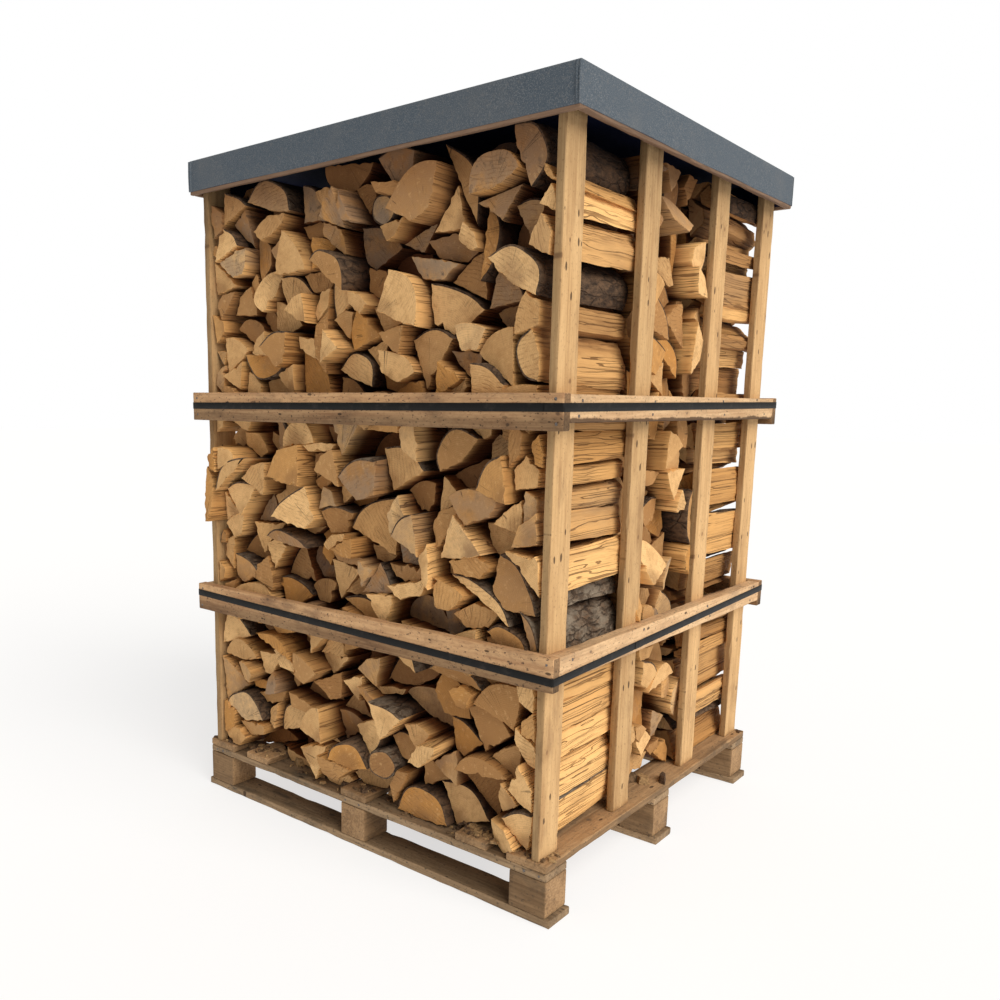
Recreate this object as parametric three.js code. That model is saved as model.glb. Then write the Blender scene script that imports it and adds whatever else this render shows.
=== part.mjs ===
// Crate of split firewood: a slatted crate on a block pallet, filled with three rows of logs,
// held by two strapped rings of boards and closed by a covered lid.
// Millimetres, +Z up. X runs across the front, Y from front to back, and the origin is on the
// ground under the middle of the crate.
import * as THREE from "three";

// The two rings of boards set the crate's outer size.
const ringWidth = 1120;
const ringDepth = 1120;
const frontRail = { thickness: 25, height: 71 };
const sideRail = { thickness: 32, height: 54, drop: 2 };
const railTops = { upper: 1092, lower: 583 };

// Pallet, from the ground up: bottom boards, blocks, stringers, deck boards.
const palletWidth = 1098;
const palletDepth = 1076;
const boardThickness = 18;
const blockHeight = 82;
const blockDepth = 83;
const outerBlockWidth = 90;
const middleBlockWidth = 80;
const deckBoards = [
  { x: -499, width: 100 },
  { x: -355, width: 85 },
  { x: 0, width: 85 },
  { x: 355, width: 85 },
  { x: 499, width: 100 },
];

// Posts stand on the outer deck boards, broad face outwards, in uneven steps from the front.
const postThickness = 18;
const postWidth = 75;
const postSteps = [0, 319, 687, 983];

// Lid: a panel on a frame of thin boards, under a cover that folds down over both.
const lidTop = 1666;
const lidWidth = 1128;
const lidDepth = 1102;
const coverThickness = 2;
const coverSkirt = 75;
const lidPanelThickness = 12;
const lidFrameThickness = 12;
const frameShowsBelowCover = 7;

// Straps: one band round each ring, a little higher or lower at each corner.
const strapWidth = 17;
const strapThickness = 1;
const strapHeights = {
  upper: { frontLeft: 1058, frontRight: 1065, backRight: 1073, backLeft: 1066 },
  lower: { frontLeft: 558, frontRight: 535, backRight: 562, backLeft: 566 },
};

// The rows of logs fill the crate from the deck to just under the lid.
const rowNames = ["front", "middle", "back"];
const logsTop = 1600;
const rowGap = 3;

// Pieces that touch are kept this far apart.
const gap = 0.3;

const halfWidth = ringWidth / 2;
const halfDepth = ringDepth / 2;
const blockBase = boardThickness + gap;
const stringerBase = boardThickness + blockHeight + gap;
const deckBase = stringerBase + boardThickness;
const deckTop = deckBase - gap + boardThickness;
const postOuter = halfWidth - sideRail.thickness - gap;
const postInner = postOuter - postThickness;
const postFront = -halfDepth + frontRail.thickness + gap;
const panelTop = lidTop - coverThickness - gap;
const panelBase = panelTop - lidPanelThickness;

const wood = (color) => new THREE.MeshStandardMaterial({ color, roughness: 0.8, metalness: 0 });
const materials = {
  pallet: wood(0x8f7453),
  post: wood(0xc49a5f),
  rail: wood(0xb28d63),
  lidBoard: wood(0x7d6347),
  logs: wood(0xc19c68),
  cover: new THREE.MeshStandardMaterial({ color: 0x515a62, roughness: 0.85, metalness: 0 }),
  strap: new THREE.MeshStandardMaterial({ color: 0x1f1f21, roughness: 0.45, metalness: 0 }),
};

const crate = new THREE.Group();

function addMesh(name, material, geometry) {
  const mesh = new THREE.Mesh(geometry, material);
  mesh.name = name;
  crate.add(mesh);
  return mesh;
}

// A board or block, given by its lowest and highest value on each axis.
function addBoard(name, material, [x0, x1], [y0, y1], [z0, z1]) {
  const mesh = addMesh(name, material, new THREE.BoxGeometry(x1 - x0, y1 - y0, z1 - z0));
  mesh.position.set((x0 + x1) / 2, (y0 + y1) / 2, (z0 + z1) / 2);
}

function span(middle, size) {
  return [middle - size / 2, middle + size / 2];
}

function addPallet() {
  const rowMiddle = (palletDepth - blockDepth) / 2;
  const rows = { front: -rowMiddle, middle: 0, back: rowMiddle };
  const columnMiddle = (palletWidth - outerBlockWidth) / 2;
  const columns = {
    left: { x: -columnMiddle, width: outerBlockWidth },
    centre: { x: 0, width: middleBlockWidth },
    right: { x: columnMiddle, width: outerBlockWidth },
  };
  for (const [row, y] of Object.entries(rows)) {
    const depth = span(y, blockDepth);
    addBoard(`bottom_board_${row}`, materials.pallet, span(0, ringWidth), depth, [0, boardThickness]);
    for (const [column, { x, width }] of Object.entries(columns)) {
      const heights = [blockBase, blockBase - gap + blockHeight];
      addBoard(`block_${row}_${column}`, materials.pallet, span(x, width), depth, heights);
    }
    const heights = [stringerBase, stringerBase - gap + boardThickness];
    addBoard(`stringer_${row}`, materials.pallet, span(0, palletWidth), depth, heights);
  }
  deckBoards.forEach(({ x, width }, index) => {
    const name = `deck_board_${index + 1}`;
    addBoard(name, materials.pallet, span(x, width), span(0, palletDepth), [deckBase, deckTop]);
  });
}

function addPosts() {
  const heights = [deckTop + gap, panelBase - gap];
  postSteps.forEach((step, index) => {
    const depth = [postFront + step, postFront + step + postWidth];
    addBoard(`post_left_${index + 1}`, materials.post, [-postOuter, -postInner], depth, heights);
    addBoard(`post_right_${index + 1}`, materials.post, [postInner, postOuter], depth, heights);
  });
}

// A ring: the front and back boards run the full width and the side boards fit between them.
function addRing(ring) {
  const top = railTops[ring];
  const frontInner = halfDepth - frontRail.thickness;
  const sideInner = halfWidth - sideRail.thickness;
  const frontHeights = [top - frontRail.height, top];
  const sideHeights = [top - sideRail.drop - sideRail.height, top - sideRail.drop];
  const width = span(0, ringWidth);
  const depth = [-frontInner + gap, frontInner - gap];
  addBoard(`${ring}_rail_front`, materials.rail, width, [-halfDepth, -frontInner], frontHeights);
  addBoard(`${ring}_rail_back`, materials.rail, width, [frontInner, halfDepth], frontHeights);
  addBoard(`${ring}_rail_left`, materials.rail, [-halfWidth, -sideInner], depth, sideHeights);
  addBoard(`${ring}_rail_right`, materials.rail, [sideInner, halfWidth], depth, sideHeights);
}

function rectangle(Outline, halfX, halfY) {
  const outline = new Outline();
  outline.moveTo(-halfX, -halfY);
  outline.lineTo(halfX, -halfY);
  outline.lineTo(halfX, halfY);
  outline.lineTo(-halfX, halfY);
  outline.closePath();
  return outline;
}

// A flat band round a ring, with each corner at its own height.
function addStrap(ring) {
  const inner = gap;
  const outer = gap + strapThickness;
  const shape = rectangle(THREE.Shape, halfWidth + outer, halfDepth + outer);
  shape.holes.push(rectangle(THREE.Path, halfWidth + inner, halfDepth + inner));
  const geometry = new THREE.ExtrudeGeometry(shape, { depth: strapWidth, bevelEnabled: false });
  const { frontLeft, frontRight, backRight, backLeft } = strapHeights[ring];
  const position = geometry.getAttribute("position");
  for (let i = 0; i < position.count; i += 1) {
    const right = position.getX(i) > 0;
    const back = position.getY(i) > 0;
    const front = right ? frontRight : frontLeft;
    const rear = right ? backRight : backLeft;
    position.setZ(i, position.getZ(i) - strapWidth / 2 + (back ? rear : front));
  }
  addMesh(`${ring}_strap`, materials.strap, geometry);
}

// An open box: four rings of corners, joined one to the next, run from the top down the outside
// and up the inside.
function coverGeometry() {
  const outer = [lidWidth / 2, lidDepth / 2];
  const inner = outer.map((half) => half - coverThickness);
  const skirtBase = lidTop - coverSkirt;
  const ceiling = lidTop - coverThickness;
  const corners = [[-1, -1], [1, -1], [1, 1], [-1, 1]];
  const ringOf = ([x, y], z) => corners.map(([sx, sy]) => [sx * x, sy * y, z]);
  const points = [
    ...ringOf(outer, lidTop),
    ...ringOf(outer, skirtBase),
    ...ringOf(inner, skirtBase),
    ...ringOf(inner, ceiling),
  ];
  const faces = [[0, 1, 2], [0, 2, 3], [12, 14, 13], [12, 15, 14]];
  for (let ring = 0; ring < 3; ring += 1) {
    for (let corner = 0; corner < 4; corner += 1) {
      const a = ring * 4 + corner;
      const b = ring * 4 + ((corner + 1) % 4);
      faces.push([a, a + 4, b + 4], [a, b + 4, b]);
    }
  }
  const geometry = new THREE.BufferGeometry();
  geometry.setAttribute("position", new THREE.Float32BufferAttribute(points.flat(), 3));
  geometry.setIndex(faces.flat());
  geometry.computeVertexNormals();
  return geometry;
}

function addLid() {
  const outerX = lidWidth / 2 - coverThickness - gap;
  const outerY = lidDepth / 2 - coverThickness - gap;
  const innerX = outerX - lidFrameThickness;
  const innerY = outerY - lidFrameThickness;
  const frameHeights = [lidTop - coverSkirt - frameShowsBelowCover, panelBase - gap];
  const sideDepth = [-innerY + gap, innerY - gap];
  const board = materials.lidBoard;
  addMesh("lid_cover", materials.cover, coverGeometry());
  addBoard("lid_panel", board, span(0, outerX * 2), span(0, outerY * 2), [panelBase, panelTop]);
  addBoard("lid_frame_front", board, [-outerX, outerX], [-outerY, -innerY], frameHeights);
  addBoard("lid_frame_back", board, [-outerX, outerX], [innerY, outerY], frameHeights);
  addBoard("lid_frame_left", board, [-outerX, -innerX], sideDepth, frameHeights);
  addBoard("lid_frame_right", board, [innerX, outerX], sideDepth, frameHeights);
}

function addLogs() {
  const halfX = postInner - gap;
  const rowDepth = (-2 * postFront - 2 * rowGap) / rowNames.length;
  rowNames.forEach((row, index) => {
    const front = postFront + index * (rowDepth + rowGap);
    const depth = [front, front + rowDepth];
    addBoard(`logs_${row}_row`, materials.logs, [-halfX, halfX], depth, [deckTop + gap, logsTop]);
  });
}

addPallet();
addPosts();
for (const ring of Object.keys(railTops)) {
  addRing(ring);
  addStrap(ring);
}
addLid();
addLogs();

export default crate;
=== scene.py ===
import math
import bpy
import numpy as np
from mathutils import Matrix, Vector


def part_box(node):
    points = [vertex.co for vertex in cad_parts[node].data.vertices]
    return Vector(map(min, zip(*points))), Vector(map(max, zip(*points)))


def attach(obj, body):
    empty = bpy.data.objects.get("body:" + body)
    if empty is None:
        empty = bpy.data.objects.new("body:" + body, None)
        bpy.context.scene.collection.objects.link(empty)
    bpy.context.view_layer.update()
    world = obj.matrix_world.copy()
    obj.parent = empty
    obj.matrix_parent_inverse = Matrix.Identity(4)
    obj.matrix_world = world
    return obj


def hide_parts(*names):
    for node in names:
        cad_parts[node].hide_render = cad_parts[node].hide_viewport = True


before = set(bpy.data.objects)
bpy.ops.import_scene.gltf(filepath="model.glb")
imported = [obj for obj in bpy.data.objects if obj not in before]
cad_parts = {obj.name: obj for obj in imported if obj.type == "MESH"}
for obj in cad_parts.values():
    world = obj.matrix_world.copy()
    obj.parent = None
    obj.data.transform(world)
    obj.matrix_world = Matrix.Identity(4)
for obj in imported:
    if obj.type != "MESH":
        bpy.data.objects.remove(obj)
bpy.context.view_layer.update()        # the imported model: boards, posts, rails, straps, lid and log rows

scene = bpy.context.scene


cameraValues = {
    "place": (1.459, -2.060, 1.072),
    "turnDegrees": -40.80,       # from straight ahead, towards the left
    "tiltDegrees": 10.11,        # downwards
    "rollDegrees": 0.53,
    "lens": 33.09,
    "shift": (0.100, 0.066),
}


def makeCamera(values):
    turn = math.radians(values["turnDegrees"])
    tilt = math.radians(values["tiltDegrees"])
    ahead = Vector((math.sin(turn) * math.cos(tilt), math.cos(turn) * math.cos(tilt), -math.sin(tilt)))
    right = Vector((math.cos(turn), -math.sin(turn), 0.0))
    right.rotate(Matrix.Rotation(-math.radians(values["rollDegrees"]), 3, ahead))
    up = right.cross(ahead)
    data = bpy.data.cameras.new("camera")
    data.lens = values["lens"]
    data.sensor_width = 36.0
    data.shift_x, data.shift_y = values["shift"]
    camera = bpy.data.objects.new("camera", data)
    turned = Matrix((right, up, -ahead)).transposed().to_4x4()
    camera.matrix_world = Matrix.Translation(values["place"]) @ turned
    scene.collection.objects.link(camera)
    scene.camera = camera


lightValues = {
    "sunStrength": 2.80,
    "sunSpreadDegrees": 50.0,
    "sunFrom": (0.92, -0.19, 0.80),
    "sunColour": (1.0, 0.965, 0.91),
    "skyColour": (1.0, 0.975, 0.94),
    "skyStrength": 0.39,
}


def makeLight(values):
    data = bpy.data.lights.new("key", "SUN")
    data.energy = values["sunStrength"]
    data.angle = math.radians(values["sunSpreadDegrees"])
    data.color = values["sunColour"]
    sun = bpy.data.objects.new("key", data)
    sun.rotation_euler = Vector(values["sunFrom"]).to_track_quat("Z", "Y").to_euler()
    scene.collection.objects.link(sun)
    world = bpy.data.worlds.new("studio")
    scene.world = world
    world.use_nodes = True
    tree = world.node_tree
    sky = tree.nodes["Background"]
    sky.inputs["Color"].default_value = (*values["skyColour"], 1.0)
    sky.inputs["Strength"].default_value = values["skyStrength"]
    backdrop = place(tree, "ShaderNodeBackground", {"Color": (1.0, 1.0, 1.0, 1.0), "Strength": 1.0})
    path = place(tree, "ShaderNodeLightPath")
    pick = place(tree, "ShaderNodeMixShader", {0: path.outputs["Is Camera Ray"]})
    tree.links.new(sky.outputs[0], pick.inputs[1])
    tree.links.new(backdrop.outputs[0], pick.inputs[2])
    tree.links.new(pick.outputs[0], tree.nodes["World Output"].inputs[0])
    scene.view_settings.view_transform = "Standard"


floorValues = {"size": 60.0, "grey": 0.36, "glow": 0.66}


def makeFloor(values):
    half = values["size"] / 2
    mesh = bpy.data.meshes.new("floor")
    corners = [(-half, -half, 0), (half, -half, 0), (half, half, 0), (-half, half, 0)]
    mesh.from_pydata(corners, [], [(0, 1, 2, 3)])
    floor = bpy.data.objects.new("floor", mesh)
    scene.collection.objects.link(floor)
    material, _, shader = newMaterial("floorPaint", roughness=0.9)
    shader.inputs["Base Color"].default_value = (values["grey"],) * 3 + (1.0,)
    shader.inputs["Emission Color"].default_value = (1.0, 1.0, 1.0, 1.0)
    shader.inputs["Emission Strength"].default_value = values["glow"]
    mesh.materials.append(material)


def place(tree, kind, values=None, **settings):
    # a new node, with its inputs set to numbers or linked to other nodes
    node = tree.nodes.new(kind)
    for key, value in settings.items():
        setattr(node, key, value)
    for key, value in (values or {}).items():
        if isinstance(value, bpy.types.NodeSocket):
            tree.links.new(value, node.inputs[key])
        else:
            node.inputs[key].default_value = value
    return node


def treeOf(*inputs):
    return next(part.id_data for part in inputs if isinstance(part, bpy.types.NodeSocket))


def newMaterial(name, roughness=0.8):
    material = bpy.data.materials.new(name)
    material.use_nodes = True
    shader = material.node_tree.nodes["Principled BSDF"]
    shader.inputs["Roughness"].default_value = roughness
    shader.inputs["Specular IOR Level"].default_value = 0.25
    return material, material.node_tree, shader


def finished(shader, colour, height, depth, strength):
    tree = shader.id_data
    tree.links.new(colour, shader.inputs["Base Color"])
    relief = place(tree, "ShaderNodeBump", {"Height": height, "Distance": depth, "Strength": strength})
    tree.links.new(relief.outputs[0], shader.inputs["Normal"])


def attribute(tree, name, output="Vector"):
    return place(tree, "ShaderNodeAttribute", attribute_name=name).outputs[output]


def objectPlace(tree):
    return place(tree, "ShaderNodeTexCoord").outputs["Object"]


def maths(operation, a, b=0.0, c=0.0):
    return place(treeOf(a, b, c), "ShaderNodeMath", {0: a, 1: b, 2: c}, operation=operation).outputs[0]


def times(a, b):
    return maths("MULTIPLY", a, b)


def timesPlus(a, b, c):
    return maths("MULTIPLY_ADD", a, b, c)


def shareOf(seed, factor):
    # another number from 0 to 1 for each log, out of its one random number
    return maths("FRACT", times(seed, factor))


def vectorMaths(operation, a, b=(0.0, 0.0, 0.0), output="Vector"):
    return place(a.id_data, "ShaderNodeVectorMath", {0: a, 1: b}, operation=operation).outputs[output]


def combined(x=0.0, y=0.0, z=0.0):
    return place(treeOf(x, y, z), "ShaderNodeCombineXYZ", {0: x, 1: y, 2: z}).outputs[0]


def split(vector):
    return place(vector.id_data, "ShaderNodeSeparateXYZ", {0: vector}).outputs


def stretched(vector, scale, shift=(0.0, 0.0, 0.0)):
    values = {"Vector": vector, "Scale": scale, "Location": shift}
    return place(vector.id_data, "ShaderNodeMapping", values).outputs[0]


def noise(vector, scale, detail=3.0, roughness=0.55, distortion=0.0, shift=None, output="Fac"):
    # scale is one number, or three where the pattern is drawn out along the grain
    even = not isinstance(scale, tuple)
    if shift or not even:
        vector = stretched(vector, (1.0, 1.0, 1.0) if even else scale, shift or (0.0, 0.0, 0.0))
    values = {"Vector": vector, "Scale": scale if even else 1.0, "Detail": detail, "Roughness": roughness,
              "Distortion": distortion}
    return place(vector.id_data, "ShaderNodeTexNoise", values).outputs[output]


def cells(vector, scale=1.0, **settings):
    values = {"Vector": vector, "Scale": scale}
    return place(vector.id_data, "ShaderNodeTexVoronoi", values, **settings).outputs


def between(value, low, high):
    values = {"Value": value, "From Min": low, "From Max": high}
    return place(value.id_data, "ShaderNodeMapRange", values, interpolation_type="SMOOTHSTEP").outputs[0]


def stripesOf(value, spacing, low):
    return between(maths("SINE", times(value, 2 * math.pi / spacing)), low, 1.0)


def opaque(colour):
    return (*colour, 1.0) if isinstance(colour, tuple) else colour


def mixed(factor, a, b, blend="MIX"):
    values = {0: factor, 6: opaque(a), 7: opaque(b)}
    return place(treeOf(factor, a, b), "ShaderNodeMix", values, data_type="RGBA", blend_type=blend).outputs[2]


def tint(colour, other, mask, amount=None):
    # lays another colour over this one where the mask is high
    return mixed(mask if amount is None else times(mask, amount), colour, other)


def ramp(value, stops):
    node = place(value.id_data, "ShaderNodeValToRGB", {0: value})
    for element, (position, colour) in zip(node.color_ramp.elements, stops):
        element.position = position
        element.color = (*colour, 1.0)
    return node.outputs["Color"]


def boxes(*parts):
    # the boxes of the CAD nodes whose names hold one of these parts, in order of name
    return [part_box(node) for node in sorted(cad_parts) if any(part in node for part in parts)]


def tubeFaces(rings, count, first=0):
    # faces between rings of points that follow each other
    faces = []
    for ring in range(rings - 1):
        for i in range(count):
            a = first + ring * count + i
            b = first + ring * count + (i + 1) % count
            faces.append((a, b, b + count, a + count))
    return faces


def capFaces(rings, count, first=0):
    last = first + (rings - 1) * count
    return [tuple(first + i for i in reversed(range(count))), tuple(last + i for i in range(count))]


def makePiece(name, points, faces, faceSlots, materials, values, nodes=(), smoothAngle=None):
    mesh = bpy.data.meshes.new(name)
    mesh.from_pydata(points, [], faces)
    for material in materials:
        mesh.materials.append(material)
    mesh.polygons.foreach_set("material_index", np.asarray(faceSlots, dtype=np.int32))
    for key, array in values.items():
        vector = array.ndim == 2
        layer = mesh.attributes.new(key, "FLOAT_VECTOR" if vector else "FLOAT", "POINT")
        layer.data.foreach_set("vector" if vector else "value", array.astype(np.float32).ravel())
    mesh.validate()
    if smoothAngle is not None:
        mesh.polygons.foreach_set("use_smooth", np.ones(len(mesh.polygons), dtype=bool))
        mesh.set_sharp_from_angle(angle=math.radians(smoothAngle))
    mesh.update()
    piece = bpy.data.objects.new(name, mesh)
    scene.collection.objects.link(piece)
    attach(piece, "root")
    if nodes:
        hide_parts(*nodes)


def ripple(random, places, cycles, count=5):
    # a smooth random wave over places (an array of rows), about -1 to 1
    total = np.zeros(len(places))
    for _ in range(count):
        direction = random.normal(size=places.shape[1]) * cycles
        total += np.sin(places @ direction * 2 * math.pi + random.uniform(0, 2 * math.pi))
    return total / math.sqrt(count)


# light, dark, dirt: the wood's colours; the shades are painted shade that darkens the broad, edge and end
# faces into lit and shaded copies of one wood (the end faces partly by end grain's own darker colour);
# lowShade is painted shade towards a board's lower edge and topShade the painted shadow of the lid; flecks:
# nearer 1 means fewer; names: parts of the names of the CAD nodes in each group
boardValues = {
    "pallet": {
        "names": ("deck_board",), "slot": "pallet_wood",
        "light": (0.47, 0.285, 0.14), "dark": (0.20, 0.110, 0.05), "dirt": (0.12, 0.085, 0.055),
        "dirtAmount": 0.65, "knotsPerMetre": 3.0, "toneSpread": 0.4, "flecks": 0.92, "speckle": 0.65,
        "endShade": 0.95, "edgeShade": 0.66,
    },
    "block": {
        "names": ("block",), "slot": "pallet_wood",
        "light": (0.47, 0.285, 0.14), "dark": (0.20, 0.110, 0.05), "dirt": (0.12, 0.085, 0.055),
        "dirtAmount": 0.65, "knotsPerMetre": 3.0, "toneSpread": 0.3, "flecks": 0.92, "speckle": 0.65,
        "endShade": 0.97, "broadShade": 0.62, "edgeShade": 0.66,
    },
    "lowBoard": {
        "names": ("bottom_board", "stringer"), "slot": "pallet_wood",
        "light": (0.47, 0.312, 0.175), "dark": (0.20, 0.125, 0.065), "dirt": (0.095, 0.078, 0.058),
        "dirtAmount": 0.85, "knotsPerMetre": 3.0, "toneSpread": 0.3, "flecks": 0.92, "speckle": 0.8,
        "broadShade": 0.62,
    },
    "post": {
        "names": ("post",), "slot": "post_wood",
        "light": (0.66, 0.42, 0.197), "dark": (0.42, 0.235, 0.098), "dirt": (0.24, 0.13, 0.06),
        "dirtAmount": 0.50, "knotsPerMetre": 4.0, "toneSpread": 0.3, "flecks": 0.86, "speckle": 0.45,
        "edgeShade": 0.68, "topShade": 0.70,
    },
    "rail": {
        "names": ("_rail_front", "_rail_back"), "slot": "rail_wood",
        "light": (0.66, 0.40, 0.20), "dark": (0.34, 0.17, 0.080), "dirt": (0.13, 0.075, 0.045),
        "dirtAmount": 0.60, "knotsPerMetre": 4.5, "toneSpread": 0.25, "flecks": 0.90, "speckle": 1.0,
        "endShade": 0.45, "lowShade": 0.50,
    },
    "sideRail": {
        "names": ("_rail_left", "_rail_right"), "slot": "rail_wood",
        "light": (0.70, 0.47, 0.26), "dark": (0.42, 0.24, 0.12), "dirt": (0.20, 0.13, 0.08),
        "dirtAmount": 0.55, "knotsPerMetre": 4.5, "toneSpread": 0.15, "flecks": 0.92, "speckle": 0.9,
        "endShade": 0.6,
    },
    "lidBoard": {
        "names": ("lid_panel", "lid_frame"), "slot": "lid_board",
        "light": (0.25, 0.155, 0.098), "dark": (0.16, 0.095, 0.058), "dirt": (0.09, 0.055, 0.038),
        "dirtAmount": 0.3, "knotsPerMetre": 0.5, "toneSpread": 0.2, "flecks": 0.98, "speckle": 0.2,
        "darkUpperFrom": 0.006,     # above the frame's lower edge
        "darkUpper": (0.003, 0.007, 0.036),
    },
}

sawnValues = {
    "ringSpacing": 0.0075, "fleckColour": (0.055, 0.030, 0.016), "waneColour": (0.085, 0.046, 0.024),
    "lowerEdgeShadeHeights": (0.012, 0.042),      # painted shade towards a board's lower edge: heights above that edge
    "postLidShadeHeights": (1.38, 1.58),         # painted shadow of the lid: where the posts darken under it
    # shape, in metres: stations along a board, its worn edges and its drawn-in ends
    "step": 0.030, "chamfer": 0.0016, "wear": 0.0022, "wearRange": (0.0008, 0.006), "dent": 0.00035,
    "endStep": 0.0015, "endMargin": 0.012, "endDraw": 0.0012, "midPoints": (3, 1), "smoothAngle": 40,
    # painted shade: the default shade factors that darken each face of a wood
    "faces": (("", "broadShade", 1.0), ("Edge", "edgeShade", 0.92), ("End", "endShade", 0.8)),
    "waney": ("upper_rail_left", "upper_rail_right"),
}


def makeSawnWood(name, values, shade):
    material, tree, shader = newMaterial(name, roughness=0.82)
    grain = attribute(tree, "grainPlace")
    tone, waney, height = split(attribute(tree, "boardLook"))
    along, across, up = split(grain)
    bend = noise(grain, (2.2, 9.0, 9.0), detail=2.0)
    streaks = noise(grain, (5.0, 150.0, 150.0), detail=4.0, distortion=0.6)
    patches = noise(grain, (4.0, 22.0, 22.0), shift=(3.0, 1.0, 2.0))
    radius = vectorMaths("LENGTH", combined(0.0, across, up), output="Value")
    rings = stripesOf(timesPlus(bend, 0.030, radius), sawnValues["ringSpacing"], 0.1)
    body = timesPlus(streaks, 0.55, times(patches, 0.55))
    colour = ramp(body, [(0.33, values["dark"]), (0.62, values["light"])])
    colour = tint(colour, values["dark"], rings, 0.18)
    # knots: dark eyes on the broad face, with a darker ring round them
    eyes = cells(combined(along, times(across, 1.4)), values["knotsPerMetre"], voronoi_dimensions="2D")
    eyes = timesPlus(noise(grain, 90.0, detail=2.0), 0.016, eyes["Distance"])
    knot = between(eyes, 0.040, 0.018)
    colour = tint(colour, values["dark"], between(eyes, 0.11, 0.04), 0.35)
    colour = tint(colour, values["dirt"], knot, 0.85)
    # dirt: grey-brown stains, a rough mottle and small dark specks
    stain = noise(grain, (6.0, 14.0, 14.0), detail=5.0, roughness=0.65, shift=(9.0, 4.0, 1.0))
    colour = tint(colour, values["dirt"], between(stain, 0.50, 0.72), values["dirtAmount"])
    rough = noise(grain, (70.0, 150.0, 150.0), detail=4.0, roughness=0.7, shift=(5.0, 2.0, 8.0))
    mottle = times(between(rough, 0.48, 0.66), values["speckle"])
    colour = tint(colour, values["dark"], mottle, 0.42)
    specks = between(noise(grain, (120.0, 190.0, 190.0)), 0.59, 0.69)
    colour = tint(colour, values["dirt"], specks, values["speckle"])
    # short dark marks along the grain: nail holes, scuffs and pin knots
    marks = cells(combined(times(along, 20.0), times(across, 48.0)), voronoi_dimensions="2D")
    pick, reach, _ = split(marks["Color"])
    chosen = between(pick, values["flecks"], values["flecks"] + 0.01)
    fleck = times(between(timesPlus(reach, -0.15, marks["Distance"]), 0.06, 0.0), chosen)
    colour = tint(colour, sawnValues["fleckColour"], fleck, 0.85)
    if "darkUpper" in values:
        # the lid boards turn near-black navy above the frame's lowest few millimetres
        start = values["darkUpperFrom"]
        colour = tint(colour, values["darkUpper"], between(height, start, start + 0.003))
    else:
        # a waney edge keeps a ragged strip of bark
        ragged = timesPlus(noise(grain, 13.0, detail=5.0, roughness=0.7), 0.024, -0.0062)
        bark = between(maths("SUBTRACT", ragged, height), -0.0030, 0.0010)
        colour = tint(colour, sawnValues["waneColour"], times(bark, waney), 0.92)
    tone = timesPlus(tone, values["toneSpread"], 1.0 - values["toneSpread"] / 2)
    # painted shade: the face's shade factor darkens the whole face
    tone = times(tone, shade)
    if "lowShade" in values:
        # painted shade: the board turns darker towards its lower edge
        grimeAndShade = between(height, *sawnValues["lowerEdgeShadeHeights"])
        tone = times(tone, timesPlus(grimeAndShade, 1.0 - values["lowShade"], values["lowShade"]))
    if "topShade" in values:
        # painted shadow of the lid: the posts turn darker near the top
        postLidShade = between(split(objectPlace(tree))[2], *sawnValues["postLidShadeHeights"])
        tone = times(tone, timesPlus(postLidShade, values["topShade"] - 1.0, 1.0))
    grey = place(tree, "ShaderNodeCombineColor", {0: tone, 1: tone, 2: tone}).outputs[0]
    colour = mixed(1.0, colour, grey, "MULTIPLY")
    saw = noise(grain, (420.0, 12.0, 12.0), detail=1.0)
    relief = timesPlus(streaks, 1.0, times(saw, 0.35))
    relief = timesPlus(knot, -0.5, relief)
    relief = timesPlus(fleck, -0.8, timesPlus(rough, 0.9, relief))
    finished(shader, colour, relief, 0.0012, 0.7)
    return material


def boardSection(width, thickness, midPoints):
    # outline points at the sharp corners, the way each is drawn back, and which corner it follows
    halfW, halfT = width / 2, thickness / 2
    corners = [(-halfW, -halfT), (halfW, -halfT), (halfW, halfT), (-halfW, halfT)]
    points, pulls, follows = [], [], []
    for index, corner in enumerate(corners):
        before = Vector(corners[index - 1]) - Vector(corner)
        after = Vector(corners[(index + 1) % 4]) - Vector(corner)
        for side in (before, after):
            points.append(corner)
            pulls.append(side.normalized())
            follows.append(index)
        steps = midPoints[index % 2]
        for step in range(1, steps + 1):
            points.append(Vector(corner) + after * step / (steps + 1))
            pulls.append((0.0, 0.0))
            follows.append(index)
    return np.array(points, dtype=float), np.array(pulls, dtype=float), np.array(follows)


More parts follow.
